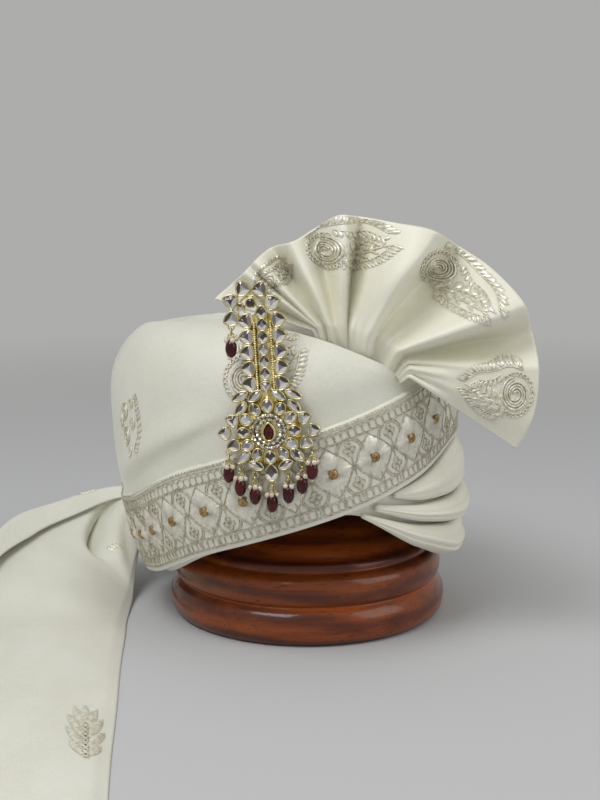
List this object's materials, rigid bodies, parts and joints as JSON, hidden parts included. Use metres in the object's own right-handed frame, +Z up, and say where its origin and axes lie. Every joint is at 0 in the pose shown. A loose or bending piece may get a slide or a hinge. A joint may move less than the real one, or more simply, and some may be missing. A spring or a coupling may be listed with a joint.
{
  "type": "tied turban on a turned wooden stand",
  "caption": "Ready-tied ceremonial turban with a pleated fan, embroidered border, free tail and a stone-set brooch with red drops, on a low turned wooden stand.",
  "frame": {"origin": "middle of the stand's foot, on the surface it stands on", "axes": "+Z up, -Y towards the front with the brooch, +X towards the fan's side"},
  "size_m": [0.3467, 0.4287, 0.2502],
  "materials": {
    "varnished_wood": "glossy red-brown varnish",
    "ivory_cloth": "fine satin weave",
    "embroidered_border": "cloth closely covered with shiny cream thread",
    "gilt_metal": "polished gilt with clear foil-backed stones",
    "red_glass": "polished dark red"
  },
  "bodies": {
    "root": {"stand": "varnished_wood", "crown_wrap": "ivory_cloth", "front_wrap": "ivory_cloth", "border_band": "embroidered_border", "side_fold_1": "ivory_cloth", "side_fold_2": "ivory_cloth", "side_fold_3": "ivory_cloth", "fan": "ivory_cloth", "tail": "ivory_cloth", "brooch_setting": "gilt_metal", "ruby_centre": "red_glass", "drop_link_1": "gilt_metal", "ruby_drop_1": "red_glass", "drop_link_2": "gilt_metal", "ruby_drop_2": "red_glass", "drop_link_3": "gilt_metal", "ruby_drop_3": "red_glass", "drop_link_4": "gilt_metal", "ruby_drop_4": "red_glass", "drop_link_5": "gilt_metal", "ruby_drop_5": "red_glass", "drop_link_6": "gilt_metal", "ruby_drop_6": "red_glass", "drop_link_7": "gilt_metal", "ruby_drop_7": "red_glass", "drop_link_8": "gilt_metal", "ruby_drop_8": "red_glass"}
  },
  "joints": []
}
